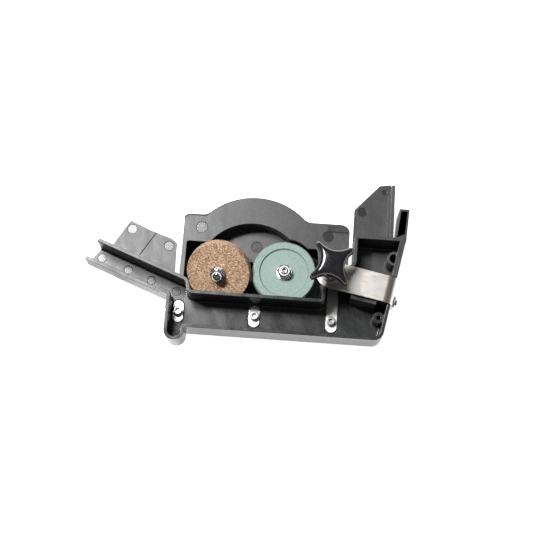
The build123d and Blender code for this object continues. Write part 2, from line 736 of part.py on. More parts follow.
def wheel_set(name, plane, seat):
    """Everything that sits on one wheel axis; seat is the height the nut's washer lies at."""
    shaft = SPINDLE_DIA / 2
    washer_top = seat + WASHER_THICK
    nut_top = washer_top + NUT_HEIGHT
    # spindle with flange, groove for the clip and hexagon socket in its threaded end
    with BuildPart() as spindle:
        add(
            turned(
                plane,
                [
                    (0.0, -22.6),
                    (shaft - 0.4, -22.6),
                    (shaft, -22.2),
                    (shaft, -21.5),
                    (shaft - 0.4, -21.5),
                    (shaft - 0.4, -20.7),
                    (shaft, -20.7),
                    (shaft, FLANGE_BOTTOM),
                    (FLANGE_RADIUS - 0.4, FLANGE_BOTTOM),
                    (FLANGE_RADIUS, FLANGE_BOTTOM + 0.4),
                    (FLANGE_RADIUS, -WHEEL_THICK),
                    (shaft, -WHEEL_THICK),
                    (shaft, nut_top + 0.5),
                    (shaft - 0.6, nut_top + 1.2),
                    (0.0, nut_top + 1.2),
                ],
            )
        )
        with BuildSketch(plane.offset(nut_top - 1.4)):
            RegularPolygon(1.5, 6, major_radius=False)
        extrude(amount=3.0, mode=Mode.SUBTRACT)
    save(name + "_spindle", spindle.part)
    save(name + "_washer", ring(plane, seat, washer_top, WASHER_RADIUS, shaft + 0.1))
    nut_low = nut_top - 1.6
    save(name + "_nut", hexagon(plane, NUT_ACROSS, washer_top, nut_low, shaft))
    with BuildPart() as collar:
        add(
            turned(
                plane,
                [
                    (3.9, nut_low),
                    (4.7, nut_low),
                    (4.7, nut_top - 0.5),
                    (4.2, nut_top),
                    (3.9, nut_top),
                ],
            )
        )
    save(name + "_nut_collar", collar.part)
    save(name + "_nut_ring", ring(plane, nut_low, nut_top - 0.3, 3.9, shaft))
    # spring clip in the spindle's groove
    with BuildPart() as clip:
        with BuildSketch(plane.offset(-21.45)):
            Circle(4.6)
            Circle(shaft - 0.4, mode=Mode.SUBTRACT)
            with Locations((4.0, 0.0)):
                Rectangle(4.4, 2.6, mode=Mode.SUBTRACT)
        extrude(amount=0.7)
    save(name + "_clip", clip.part)
    # sliding plunger with its two bronze bushes and the push button
    save(
        name + "_plunger",
        turned(
            plane,
            [
                (BUSH_RADIUS, PLUNGER_TOP),
                (PLUNGER_RADIUS - 0.3, PLUNGER_TOP),
                (PLUNGER_RADIUS, PLUNGER_TOP - 0.3),
                (PLUNGER_RADIUS, FOOT_TOP),
                (SPRING_BORE - FOOT_FIT, FOOT_TOP),
                (SPRING_BORE - FOOT_FIT, FOOT_BOTTOM),
                (CHAMBER_RADIUS, FOOT_BOTTOM),
                (CHAMBER_RADIUS, CHAMBER_TOP),
                (BUSH_RADIUS, CHAMBER_TOP),
            ],
        ),
    )
    with BuildPart() as bushes:
        for low, high in ((-14.6, -10.3), (-20.0, -15.6)):
            add(ring(plane, low, high, BUSH_RADIUS, shaft + FOOT_FIT))
    save(name + "_bushes", bushes.part)
    save(
        name + "_button",
        turned(
            plane,
            [
                (0.0, BUTTON_FACE + 0.5),
                (5.5, BUTTON_FACE),
                (7.6, BUTTON_FACE),
                (8.3, BUTTON_FACE + 0.7),
                (8.3, FOOT_BOTTOM),
                (CHAMBER_RADIUS, FOOT_BOTTOM),
                (CHAMBER_RADIUS, FOOT_BOTTOM + 0.9),
                (4.7, FOOT_BOTTOM + 0.9),
                (4.7, FOOT_BOTTOM - 0.6),
                (0.0, FOOT_BOTTOM - 0.6),
            ],
        ),
    )
    # bronze guide sleeve pressed into the housing's boss
    save(name + "_sleeve", ring(plane, SLEEVE_BOTTOM, BOSS_TOP, SPRING_BORE, PLUNGER_RADIUS + 0.05))
    # return spring between sleeve and the plunger's foot
    wire = 0.45
    coil_low = FOOT_TOP + wire + 0.05
    coil_high = SLEEVE_BOTTOM - wire - 0.05
    with BuildPart() as spring:
        with BuildLine() as coil:
            Helix(
                pitch=(coil_high - coil_low) / 3.0,
                height=coil_high - coil_low,
                radius=7.3,
                center=plane.origin + plane.z_dir * coil_low,
                direction=plane.z_dir,
            )
        with BuildSketch(Plane(origin=coil.line @ 0, z_dir=coil.line % 0)):
            Circle(wire)
        sweep(path=coil.line, is_frenet=True)
    save(name + "_spring", spring.part)


wheel_set("grinding", grind_plane, 0.0)
wheel_set("truing", true_plane, -CUP_DEPTH)

wheel_radius = WHEEL_DIA / 2
save(
    "grinding_wheel",
    turned(
        grind_plane,
        [
            (SPINDLE_DIA / 2 + 0.1, -WHEEL_THICK),
            (wheel_radius - 0.6, -WHEEL_THICK),
            (wheel_radius, -WHEEL_THICK + 0.6),
            (wheel_radius, -0.6),
            (wheel_radius - 0.6, 0.0),
            (SPINDLE_DIA / 2 + 0.1, 0.0),
        ],
    ),
)
save(
    "truing_wheel",
    turned(
        true_plane,
        [
            (SPINDLE_DIA / 2 + 0.1, -WHEEL_THICK),
            (wheel_radius - 0.6, -WHEEL_THICK),
            (wheel_radius, -WHEEL_THICK + 0.6),
            (wheel_radius, -1.0),
            (wheel_radius - 1.0, 0.0),
            (CUP_RADIUS + 0.4, 0.0),
            (CUP_RADIUS - 0.4, -CUP_DEPTH),
            (SPINDLE_DIA / 2 + 0.1, -CUP_DEPTH),
        ],
    ),
)

# ---------------------------------------------------------------- stop rail, its screws and plates
SCREW_DIA = 4.0
HEAD_RADIUS = 3.5
HEAD_HEIGHT = 4.0
plate_top = WEB_TOP - PLATE_SUNK + PLATE_THICK
rail_top = WEB_BOTTOM - 0.2
rail_low = rail_top - RAIL_THICK
rail_screws_at = [(screw_x, RAIL_Y) for screw_x in SCREW_X]

with BuildPart() as stop_rail:
    with BuildSketch(Plane.XY.offset(rail_low)):
        with Locations((SCREW_X[1], RAIL_Y)):
            SlotOverall(SCREW_X[2] - SCREW_X[0] + 22.0, RAIL_WIDTH)
        with Locations(*rail_screws_at):
            Circle(SCREW_DIA / 2 + 0.1, mode=Mode.SUBTRACT)
    extrude(amount=RAIL_THICK)
    chamfer(stop_rail.faces().sort_by(Axis.Z)[0].outer_wire().edges(), 0.5)
save("stop_rail", stop_rail.part)

with BuildPart() as rail_screws:
    for place in rail_screws_at:
        base = Plane(origin=(place[0], place[1], plate_top))
        add(
            turned(
                base,
                [
                    (0.0, rail_low - 4.2 - plate_top),
                    (SCREW_DIA / 2 - 0.4, rail_low - 4.2 - plate_top),
                    (SCREW_DIA / 2, rail_low - 3.8 - plate_top),
                    (SCREW_DIA / 2, 0.0),
                    (HEAD_RADIUS, 0.0),
                    (HEAD_RADIUS, HEAD_HEIGHT - 0.4),
                    (HEAD_RADIUS - 0.4, HEAD_HEIGHT),
                    (0.0, HEAD_HEIGHT),
                ],
            )
        )
        with BuildSketch(base.offset(HEAD_HEIGHT - 2.2)):
            RegularPolygon(1.5, 6, major_radius=False)
        extrude(amount=2.2, mode=Mode.SUBTRACT)
save("rail_screws", rail_screws.part)

with BuildPart() as rail_nuts:
    for place in rail_screws_at:
        base = Plane(origin=(place[0], place[1], 0.0))
        add(hexagon(base, 7.0, rail_low - 3.2, rail_low, SCREW_DIA / 2))
save("rail_nuts", rail_nuts.part)

with BuildPart() as rail_plates:
    with BuildSketch(Plane.XY.offset(WEB_TOP - PLATE_SUNK)):
        for place in rail_screws_at[:2]:
            add(obround(place, PLATE_WIDTH, PLATE_LENGTH))
        with Locations(*rail_screws_at[:2]):
            Circle(SCREW_DIA / 2 + 0.1, mode=Mode.SUBTRACT)
    extrude(amount=PLATE_THICK)
    chamfer(rail_plates.faces().sort_by(Axis.Z)[-2:].edges().filter_by(GeomType.LINE), 0.2)
save("rail_plates", rail_plates.part)

strip_front = RAIL_Y - PLATE_LENGTH / 2
with BuildPart() as slide_strip:
    with BuildSketch(Plane.XY.offset(WEB_TOP - PLATE_SUNK)):
        add(obround((STRIP_X, (strip_front + STRIP_BACK) / 2), PLATE_WIDTH, STRIP_BACK - strip_front))
        with Locations(rail_screws_at[2]):
            Circle(SCREW_DIA / 2 + 0.1, mode=Mode.SUBTRACT)
    extrude(amount=PLATE_THICK)
save("slide_strip", slide_strip.part)

# ---------------------------------------------------------------- strap clamp
STRAP_START = -9.5
LEG_GAP = 0.35
LEG_LOW = 37.0
BEND_RADIUS = 8.0
WASHER_GAP = 0.25
WASHER_TOP_THICK = 1.5
strap_outer = WALL_REACH + LEG_GAP + STRAP_THICK
strap_top = STRAP_UNDER + STRAP_THICK
bend_start = strap_outer - BEND_RADIUS
strap_side = Plane(
    origin=(*strap_point(0.0, STRAP_SHIFT - STRAP_WIDTH / 2), 0.0),
    x_dir=(math.cos(math.radians(STRAP_ANGLE)), math.sin(math.radians(STRAP_ANGLE)), 0),
    z_dir=(math.sin(math.radians(STRAP_ANGLE)), -math.cos(math.radians(STRAP_ANGLE)), 0),
)

with BuildPart() as strap:
    with BuildSketch(strap_side):
        with BuildLine():
            l1 = Line((STRAP_START, strap_top), (bend_start, strap_top))
            a1 = JernArc(start=l1 @ 1, tangent=(1, 0), radius=BEND_RADIUS, arc_size=-90)
            l2 = Line(a1 @ 1, (strap_outer, LEG_LOW))
            l3 = Line(l2 @ 1, (strap_outer - STRAP_THICK, LEG_LOW))
            l4 = Line(l3 @ 1, (strap_outer - STRAP_THICK, (a1 @ 1).Y))
            a2 = JernArc(
                start=l4 @ 1, tangent=(0, 1), radius=BEND_RADIUS - STRAP_THICK, arc_size=90
            )
            l5 = Line(a2 @ 1, (STRAP_START, STRAP_UNDER))
            Line(l5 @ 1, l1 @ 0)
        make_face()
    extrude(amount=-STRAP_WIDTH)
    # fully rounded free end
    end_edges = strap.edges().filter_by(Axis.Z).sort_by(Axis.X)
    fillet(end_edges[:2], STRAP_WIDTH / 2 - 0.1)
    with BuildSketch(Plane.XY.offset(STRAP_UNDER - 1.0)):
        with Locations(KNOB_AXIS):
            Circle(STUD_DIA / 2 + 0.5)
    extrude(amount=4.0, mode=Mode.SUBTRACT)
    with BuildSketch(along_strap(strap_outer - 3.0, STRAP_SCREW_T, STRAP_SCREW_Z)):
        Circle(2.6)
    extrude(amount=5.0, mode=Mode.SUBTRACT)
save("strap", strap.part)

with BuildPart() as strap_screw:
    add(
        turned(
            along_strap(strap_outer, STRAP_SCREW_T, STRAP_SCREW_Z),
            [
                (0.0, -12.0),
                (2.0, -12.0),
                (2.0, 1.5),
                (2.7, 1.5),
                (2.7, 3.1),
                (2.0, 3.7),
                (0.0, 3.7),
            ],
        )
    )
save("strap_screw", strap_screw.part)
save(
    "strap_washer",
    ring(along_strap(strap_outer, STRAP_SCREW_T, STRAP_SCREW_Z), 0.5, 1.5, 5.6, 2.1),
)
save(
    "strap_nut",
    hexagon(along_strap(WALL_REACH - 8.0, STRAP_SCREW_T, STRAP_SCREW_Z), 7.0, 0.1, 3.2, 2.0),
)

knob_base = Plane(origin=(KNOB_AXIS[0], KNOB_AXIS[1], strap_top + WASHER_GAP))
save("thrust_washer", ring(knob_base, 0.0, WASHER_TOP_THICK, HUB_RADIUS, STUD_DIA / 2 + 0.05))
save(
    "clamp_insert",
    ring(
        Plane(origin=(KNOB_AXIS[0], KNOB_AXIS[1], INSERT_LOW)),
        0.0,
        CLAMP_BOSS_TOP - INSERT_LOW,
        INSERT_RADIUS,
        STUD_DIA / 2 + 0.05,
    ),
)

knob_low = WASHER_TOP_THICK + 0.05
knob_high = knob_low + KNOB_HEIGHT
tip_reach = KNOB_RADIUS - TIP_RADIUS
stud_low = INSERT_LOW - 1.5 - knob_base.origin.Z
stud_high = knob_low + 14.0

with BuildPart() as knob_stud:
    add(
        turned(
            knob_base,
            [
                (0.0, stud_low),
                (STUD_DIA / 2 - 0.6, stud_low),
                (STUD_DIA / 2, stud_low + 0.6),
                (STUD_DIA / 2, knob_low),
                (5.0, knob_low),
                (5.0, stud_high),
                (0.0, stud_high),
            ],
        )
    )
save("knob_stud", knob_stud.part)

with BuildPart() as knob:
    with BuildSketch(knob_base.offset(knob_low)):
        Circle(HUB_RADIUS)
    extrude(amount=KNOB_HEIGHT - STAR_HEIGHT, taper=-2)
    # four-armed star: round tips joined by hollow arcs
    with BuildSketch(knob_base.offset(knob_high - STAR_HEIGHT)):
        with BuildLine():
            for quarter in range(4):
                here = 38.0 + 90.0 * quarter
                left = PolarLine((0, 0), tip_reach, here, mode=Mode.PRIVATE) @ 1
                away = Vector(1, 0).rotate(Axis.Z, here)
                across = Vector(0, 1).rotate(Axis.Z, here)
                start = left - across * TIP_RADIUS
                end = left + across * TIP_RADIUS
                ThreePointArc(start, left + away * TIP_RADIUS, end)
                waist = Vector(KNOB_WAIST, 0).rotate(Axis.Z, here + 45.0)
                turned_away = Vector(1, 0).rotate(Axis.Z, here + 90.0)
                turned_across = Vector(0, 1).rotate(Axis.Z, here + 90.0)
                following = turned_away * tip_reach - turned_across * TIP_RADIUS
                ThreePointArc(end, waist, following)
        make_face()
    extrude(amount=STAR_HEIGHT)
    # crowned top and drawn-in underside
    add(
        turned(
            knob_base,
            [
                (0.0, knob_low),
                (KNOB_RADIUS - 2.0, knob_high - STAR_HEIGHT - 1.0),
                (KNOB_RADIUS + 0.5, knob_high - STAR_HEIGHT + 2.0),
                (KNOB_RADIUS + 0.5, knob_high - 5.0),
                (KNOB_RADIUS - 2.5, knob_high - 1.8),
                (10.0, knob_high - 0.4),
                (0.0, knob_high),
            ],
        ),
        mode=Mode.INTERSECT,
    )
    with BuildSketch(knob_base.offset(knob_low)):
        Circle(5.0)
    extrude(amount=14.0, mode=Mode.SUBTRACT)
save("knob", knob.part)
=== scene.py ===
import json
import math

import bmesh
import bpy
from mathutils import Matrix, Vector


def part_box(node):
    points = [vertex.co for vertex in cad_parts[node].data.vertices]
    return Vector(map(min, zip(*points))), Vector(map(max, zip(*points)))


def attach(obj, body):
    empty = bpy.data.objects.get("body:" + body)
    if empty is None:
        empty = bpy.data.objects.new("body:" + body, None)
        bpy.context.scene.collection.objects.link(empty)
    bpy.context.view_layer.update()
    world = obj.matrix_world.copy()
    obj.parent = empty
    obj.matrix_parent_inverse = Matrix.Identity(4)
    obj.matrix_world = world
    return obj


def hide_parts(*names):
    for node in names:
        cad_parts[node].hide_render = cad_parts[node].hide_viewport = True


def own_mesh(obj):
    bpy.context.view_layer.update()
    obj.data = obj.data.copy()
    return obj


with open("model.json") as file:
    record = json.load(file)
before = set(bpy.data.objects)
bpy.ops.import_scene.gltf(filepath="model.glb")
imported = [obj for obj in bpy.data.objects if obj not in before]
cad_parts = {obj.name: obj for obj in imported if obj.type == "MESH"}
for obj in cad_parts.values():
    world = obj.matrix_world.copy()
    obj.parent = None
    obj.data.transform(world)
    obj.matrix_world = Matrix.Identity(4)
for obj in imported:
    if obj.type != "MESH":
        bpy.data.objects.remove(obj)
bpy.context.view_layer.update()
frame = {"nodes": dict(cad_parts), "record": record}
nodes = frame["nodes"]

MM = 0.001


# ---------------------------------------------------------------- camera, floor and lights
# The camera looks down at the open side from in front, and the object lies slightly turned.
AIM = Vector((11.5, -8.0, 31.0)) * MM
DISTANCE = 0.900
ELEVATION = math.radians(75.0)
TURN = math.radians(4.1)
LENS = 78.4
FLOOR_HALF = 3.0
# a hair under the object, so that its flat base and the paper don't coincide
FLOOR_LEVEL = -0.3 * MM
LIGHT_AIM = Vector((0.0, 0.0, 0.03))


def make_camera():
    azimuth = -math.pi / 2 + TURN
    away = Vector(
        (
            math.cos(ELEVATION) * math.cos(azimuth),
            math.cos(ELEVATION) * math.sin(azimuth),
            math.sin(ELEVATION),
        )
    )
    data = bpy.data.cameras.new("camera")
    data.lens = LENS
    data.sensor_width = 36.0
    data.clip_start = 0.01
    data.clip_end = 20.0
    camera = bpy.data.objects.new("camera", data)
    bpy.context.scene.collection.objects.link(camera)
    camera.location = AIM + away * DISTANCE
    camera.rotation_euler = (-away).to_track_quat("-Z", "Y").to_euler()
    bpy.context.scene.camera = camera


def make_floor():
    half = FLOOR_HALF
    mesh = bpy.data.meshes.new("floor")
    mesh.from_pydata(
        [(x, y, FLOOR_LEVEL) for x, y in ((-half, -half), (half, -half), (half, half), (-half, half))],
        [],
        [(0, 1, 2, 3)],
    )
    floor = bpy.data.objects.new("floor", mesh)
    bpy.context.scene.collection.objects.link(floor)
    material = bpy.data.materials.new("floor_paper")
    material.use_nodes = True
    shader = material.node_tree.nodes["Principled BSDF"]
    shader.inputs["Base Color"].default_value = (0.60, 0.60, 0.60, 1.0)
    shader.inputs["Roughness"].default_value = 0.9
    shader.inputs["Specular IOR Level"].default_value = 0.1
    shader.inputs["Emission Color"].default_value = (1.0, 1.0, 1.0, 1.0)
    shader.inputs["Emission Strength"].default_value = 0.95
    mesh.materials.append(material)


def area_light(name, place, size, power, colour=(1.0, 1.0, 1.0)):
    """A square light that faces the object; place and size in metres, power in watts."""
    data = bpy.data.lights.new(name, "AREA")
    data.shape = "SQUARE"
    data.size = size
    data.energy = power
    data.color = colour
    light = bpy.data.objects.new(name, data)
    bpy.context.scene.collection.objects.link(light)
    light.location = place
    direction = LIGHT_AIM - Vector(place)
    light.rotation_euler = direction.to_track_quat("-Z", "Y").to_euler()


def make_lights():
    world = bpy.data.worlds.new("studio")
    bpy.context.scene.world = world
    world.use_nodes = True
    background = world.node_tree.nodes["Background"]
    background.inputs["Color"].default_value = (1.0, 1.0, 1.0, 1.0)
    background.inputs["Strength"].default_value = 0.11
    # a small key high on the left, a soft box that the flat plastic mirrors, and a weak fill
    key_direction = Vector((-0.43, 0.17, 0.885)).normalized()
    area_light("key", key_direction * 1.5, 0.12, 22.0, (1.0, 0.985, 0.96))
    soft_direction = Vector((-0.28, 0.33, 0.92)).normalized()
    area_light("soft", soft_direction * 1.4, 0.42, 17.0)
    area_light("fill", (0.7, -0.5, 1.1), 0.6, 0.8)


# ---------------------------------------------------------------- material helpers
class Surface:
    """One procedural material, built step by step round a Principled shader."""

    def __init__(self, name):
        self.material = bpy.data.materials.new(name)
        self.material.use_nodes = True
        self.tree = self.material.node_tree
        self.shader = self.tree.nodes["Principled BSDF"]
        self.place = self.tree.nodes.new("ShaderNodeTexCoord").outputs["Object"]
        self.height = None

    def set(self, **values):
        for name, value in values.items():
            self.shader.inputs[name.replace("_", " ")].default_value = value

    def link(self, source, target):
        self.tree.links.new(source, target)

    def stretched(self, scale, turn=0.0):
        """Coordinates scaled differently along each axis, after a turn about Z."""
        mapping = self.tree.nodes.new("ShaderNodeMapping")
        mapping.vector_type = "TEXTURE"
        mapping.inputs["Rotation"].default_value = (0.0, 0.0, turn)
        mapping.inputs["Scale"].default_value = tuple(1.0 / s for s in scale)
        self.link(self.place, mapping.inputs["Vector"])
        return mapping.outputs["Vector"]

    def noise(self, size_mm, detail=3.0, roughness=0.55, place=None):
        node = self.tree.nodes.new("ShaderNodeTexNoise")
        node.inputs["Scale"].default_value = 1.0 / (size_mm * MM)
        node.inputs["Detail"].default_value = detail
        node.inputs["Roughness"].default_value = roughness
        self.link(place or self.place, node.inputs["Vector"])
        return node.outputs["Fac"]

    def grains(self, size_mm):
        """Random grains: distance from each grain's middle, and three random values for each."""
        cells = self.tree.nodes.new("ShaderNodeTexVoronoi")
        cells.inputs["Scale"].default_value = 1.0 / (size_mm * MM)
        self.link(self.place, cells.inputs["Vector"])
        kinds = self.tree.nodes.new("ShaderNodeSeparateColor")
        self.link(cells.outputs["Color"], kinds.inputs["Color"])
        return cells.outputs["Distance"], kinds.outputs

    def ramp(self, factor, stops, smooth=True):
        """Colours or grey values at places along a factor."""
        node = self.tree.nodes.new("ShaderNodeValToRGB")
        node.color_ramp.interpolation = "LINEAR" if smooth else "CONSTANT"
        elements = node.color_ramp.elements
        while len(elements) < len(stops):
            elements.new(0.5)
        for element, (place, colour) in zip(elements, stops):
            element.position = place
            if isinstance(colour, (int, float)):
                colour = (colour, colour, colour)
            element.color = (*colour, 1.0)
        self.link(factor, node.inputs["Fac"])
        return node.outputs["Color"]

    def blend(self, factor, first, second, mode="MIX"):
        """Mix of two colours; each may be a plain colour or an output."""
        node = self.tree.nodes.new("ShaderNodeMix")
        node.data_type = "RGBA"
        node.blend_type = mode
        if isinstance(factor, (int, float)):
            node.inputs["Factor"].default_value = factor
        else:
            self.link(factor, node.inputs["Factor"])
        for socket, value in ((node.inputs[6], first), (node.inputs[7], second)):
            if isinstance(value, tuple):
                socket.default_value = (*value, 1.0)
            else:
                self.link(value, socket)
        return node.outputs[2]

    def coordinate(self, letter):
        """X, Y or Z of the place."""
        split = self.tree.nodes.new("ShaderNodeSeparateXYZ")
        self.link(self.place, split.inputs["Vector"])
        return split.outputs[letter]

    def in_front_of(self, y, softness):
        """1 where Y is under a value, fading to 0 over the given distance."""
        node = self.tree.nodes.new("ShaderNodeMapRange")
        node.inputs["From Min"].default_value = y + softness
        node.inputs["From Max"].default_value = y
        self.link(self.coordinate("Y"), node.inputs["Value"])
        return node.outputs["Result"]

    def at_height(self, height, tolerance):
        """1 where Z lies within a tolerance of a height, else 0."""
        node = self.tree.nodes.new("ShaderNodeMath")
        node.operation = "COMPARE"
        node.inputs[1].default_value = height
        node.inputs[2].default_value = tolerance
        self.link(self.coordinate("Z"), node.inputs[0])
        return node.outputs["Value"]

    def painted_corner_shade(self, source, reach_mm, darkest):
        """The colour, darkened in corners and steps by ambient occlusion: painted shade."""
        node = self.tree.nodes.new("ShaderNodeAmbientOcclusion")
        node.inputs["Distance"].default_value = reach_mm * MM
        node.samples = 8
        shade = self.ramp(node.outputs["AO"], [(0.35, darkest), (0.85, 1.0)])
        return self.blend(1.0, source, shade, "MULTIPLY")

    def edges(self, low, high):
        """1 along convex edges, 0 elsewhere."""
        geometry = self.tree.nodes.new("ShaderNodeNewGeometry")
        return self.ramp(geometry.outputs["Pointiness"], [(low, 0.0), (high, 1.0)])

    def colour(self, source):
        self.link(source, self.shader.inputs["Base Color"])

    def roughness(self, source):
        self.link(source, self.shader.inputs["Roughness"])

    def bump(self, source, depth_mm, strength=1.0):
        node = self.tree.nodes.new("ShaderNodeBump")
        node.inputs["Strength"].default_value = strength
        node.inputs["Distance"].default_value = depth_mm * MM
        self.link(source, node.inputs["Height"])
        if self.height is not None:
            self.link(self.height, node.inputs["Normal"])
        self.height = node.outputs["Normal"]
        self.link(self.height, self.shader.inputs["Normal"])


# ---------------------------------------------------------------- materials
# Y of the tray's back limit, and the distance over which its polish fades
TRAY_BACK = -36.0 * MM
TRAY_FADE = 10.0 * MM
# heights of the flat bottoms of the ejector marks in the plate and in the recess
MARK_HEIGHTS = (31.7 * MM, 16.7 * MM)
MARK_TOLERANCE = 0.1 * MM
MARK_ROUGHNESS = (0.21, 0.21, 0.21)


def moulded_plastic(name, colour, rough, tray_rough=None, mark_heights=()):
    """Glass-filled moulding: sandy fleck, cloudy tone and convex edges painted lighter as a highlight;
    the tray is polished by use.

    The round marks that the ejector pins leave are smoother than the skin round them.
    """
    s = Surface(name)
    lighter = tuple(c * 1.5 + 0.002 for c in colour)
    tone = s.ramp(s.noise(24.0, 4.0), [(0.35, colour), (0.68, lighter)])
    fleck = s.ramp(s.noise(0.75, 3.0, 0.75), [(0.50, 0.0), (0.75, 1.0)])
    tone = s.blend(fleck, tone, tuple(c * 3.0 + 0.02 for c in colour))
    # painted highlight: convex edges are made lighter, as rims that catch the light
    edge_highlight = tuple(c * 2.4 + 0.03 for c in colour)
    tone = s.blend(s.edges(0.53, 0.60), tone, edge_highlight)
    s.colour(tone)
    wipe = s.noise(7.0, 3.0, 0.6, s.stretched((1.0, 0.35, 1.0), 0.3))
    spread = s.ramp(wipe, [(0.3, rough - 0.05), (0.7, rough + 0.07)])
    if tray_rough is not None:
        polished = s.ramp(wipe, [(0.3, tray_rough - 0.04), (0.7, tray_rough + 0.09)])
        spread = s.blend(s.in_front_of(TRAY_BACK, TRAY_FADE), spread, polished)
    for height in mark_heights:
        spread = s.blend(s.at_height(height, MARK_TOLERANCE), spread, MARK_ROUGHNESS)
    s.roughness(spread)
    s.bump(s.noise(0.8, 2.0, 0.7), 0.05, 0.45)
    s.bump(s.noise(9.0, 2.0), 0.20, 0.20)
    return s.material


def glossy_black():
    """Polished black moulding with hairline scratches."""
    s = Surface("knob_plastic")
    s.set(Coat_Weight=0.4, Coat_Roughness=0.04)
    s.colour(
        s.ramp(s.noise(9.0, 3.0), [(0.35, (0.006, 0.006, 0.007)), (0.7, (0.013, 0.013, 0.015))])
    )
    scratch = s.noise(0.7, 4.0, 0.7, s.stretched((1.0, 0.06, 1.0), 0.7))
    s.roughness(s.ramp(scratch, [(0.35, 0.10), (0.75, 0.24)]))
    s.bump(s.noise(3.5, 2.0, 0.5), 0.05, 0.30)
    return s.material


def metal(name, colour, rough, scratch_mm=0.30, scratch_turn=0.0, stretch=(0.03, 1.0, 1.0)):
    """Steel or bronze with a directional brush, soft stains and convex edges painted lighter as a
    highlight.
    """
    s = Surface(name)
    s.set(Metallic=1.0)
    darker = tuple(c * 0.82 for c in colour)
    tone = s.ramp(s.noise(8.0, 3.0), [(0.3, darker), (0.65, colour)])
    # painted highlight: convex edges are made lighter
    lighter = tuple(min(1.0, c * 1.2) for c in colour)
    s.colour(s.blend(s.edges(0.52, 0.58), tone, lighter))
    place = s.stretched(stretch, scratch_turn)
    brush = s.noise(scratch_mm, 4.0, 0.65, place)
    s.roughness(s.ramp(brush, [(0.3, rough - 0.06), (0.7, rough + 0.10)]))
    s.bump(brush, 0.02, 0.30)
    return s.material


def grinding_stone():
    """Coarse brown abrasive: warm bond with dark and pale grains and open pores."""
    s = Surface("grinding_stone")
    bond = s.ramp(
        s.noise(1.6, 4.0, 0.7),
        [(0.28, (0.17, 0.095, 0.055)), (0.5, (0.39, 0.240, 0.145)), (0.72, (0.55, 0.39, 0.27))],
    )
    distance, kinds = s.grains(1.0)
    inside = s.ramp(distance, [(0.36, 1.0), (0.52, 0.0)])
    is_dark = s.ramp(kinds["Red"], [(0.0, 1.0), (0.42, 0.0)], smooth=False)
    is_pale = s.ramp(kinds["Red"], [(0.0, 0.0), (0.84, 1.0)], smooth=False)
    dark = s.blend(1.0, is_dark, inside, "MULTIPLY")
    pale = s.blend(1.0, is_pale, inside, "MULTIPLY")
    tone = s.blend(dark, bond, (0.095, 0.065, 0.05))
    tone = s.blend(pale, tone, (0.66, 0.58, 0.49))
    # painted shade: the stone's colour is darkened in its corners and steps
    s.colour(s.painted_corner_shade(tone, 3.0, 0.35))
    s.set(Roughness=0.88, Specular_IOR_Level=0.35)
    s.bump(distance, 0.20, 0.7)
    s.bump(s.noise(0.45, 3.0, 0.7), 0.10, 0.6)
    return s.material


def truing_stone():
    """Fine pale green abrasive with faint mottling."""
    s = Surface("truing_stone")
    tone = s.ramp(
        s.noise(1.1, 4.0, 0.65),
        [(0.25, (0.160, 0.222, 0.207)), (0.5, (0.212, 0.283, 0.265)), (0.8, (0.29, 0.365, 0.345))],
    )
    kinds = s.grains(0.55)[1]
    dark = s.ramp(kinds["Green"], [(0.0, 0.5), (0.10, 0.0)], smooth=False)
    tone = s.blend(dark, tone, (0.15, 0.19, 0.18))
    # painted shade: the stone's colour is darkened in its corners and at its ring's step
    s.colour(s.painted_corner_shade(tone, 2.2, 0.25))
    s.set(Roughness=0.8)
    s.bump(s.noise(0.32, 3.0, 0.7), 0.06, 0.6)
    return s.material


def nylon():
    """Milky, slightly translucent locking ring."""
    s = Surface("nylon")
    s.set(Subsurface_Weight=0.15)
    s.colour(s.ramp(s.noise(1.2, 2.0), [(0.3, (0.62, 0.62, 0.58)), (0.7, (0.78, 0.78, 0.74))]))
    s.set(Roughness=0.45)
    s.bump(s.noise(0.4, 2.0), 0.02, 0.4)
    return s.material


# the strap lies square to the right wall, so its brush lines turn with it
STRAP_TURN = -math.atan2(14.0, 74.7)

MATERIALS = {
    "housing_plastic": moulded_plastic(
        "housing_plastic", (0.012, 0.0125, 0.0135), 0.38, 0.21, MARK_HEIGHTS
    ),
    "cover_plastic": moulded_plastic("cover_plastic", (0.012, 0.0125, 0.0135), 0.42),
    "button_plastic": moulded_plastic("button_plastic", (0.008, 0.008, 0.009), 0.33),
    "knob_plastic": glossy_black(),
    "grinding_stone": grinding_stone(),
    "truing_stone": truing_stone(),
    "strap_steel": metal("strap_steel", (0.58, 0.55, 0.515), 0.32, 0.25, STRAP_TURN),
    "plate_steel": metal("plate_steel", (0.60, 0.60, 0.58), 0.36, 0.25, 0.0, (1.0, 0.03, 1.0)),
    "stainless": metal("stainless", (0.62, 0.61, 0.60), 0.30),
    "rail_steel": metal("rail_steel", (0.56, 0.56, 0.55), 0.34),
    "bright_steel": metal("bright_steel", (0.74, 0.74, 0.73), 0.16, 0.5),
    "screw_steel": metal("screw_steel", (0.58, 0.58, 0.57), 0.27, 0.5),
    "socket_screw_steel": metal("socket_screw_steel", (0.50, 0.51, 0.53), 0.26, 0.5),
    "plunger_steel": metal("plunger_steel", (0.52, 0.52, 0.52), 0.28, 0.3, 0.0, (1.0, 1.0, 0.05)),
    "spring_steel": metal("spring_steel", (0.42, 0.42, 0.43), 0.30, 0.4),
    "bronze": metal("bronze", (0.55, 0.36, 0.17), 0.38, 0.5),
    "brass": metal("brass", (0.72, 0.53, 0.25), 0.28, 0.4),
    "nylon": nylon(),
}


# ---------------------------------------------------------------- pieces
def paint_cad_nodes():
    """Every carried-over node takes the finish of its slot."""
    for part in frame["record"]["subparts"]:
        node = nodes[part["node"]]
        node.data.materials.clear()
        node.data.materials.append(MATERIALS[part["material_slot"]])


WELD_DISTANCE = 0.01 * MM
FLAT_ANGLE = math.radians(0.6)
SHARP_ANGLE = math.radians(28.0)


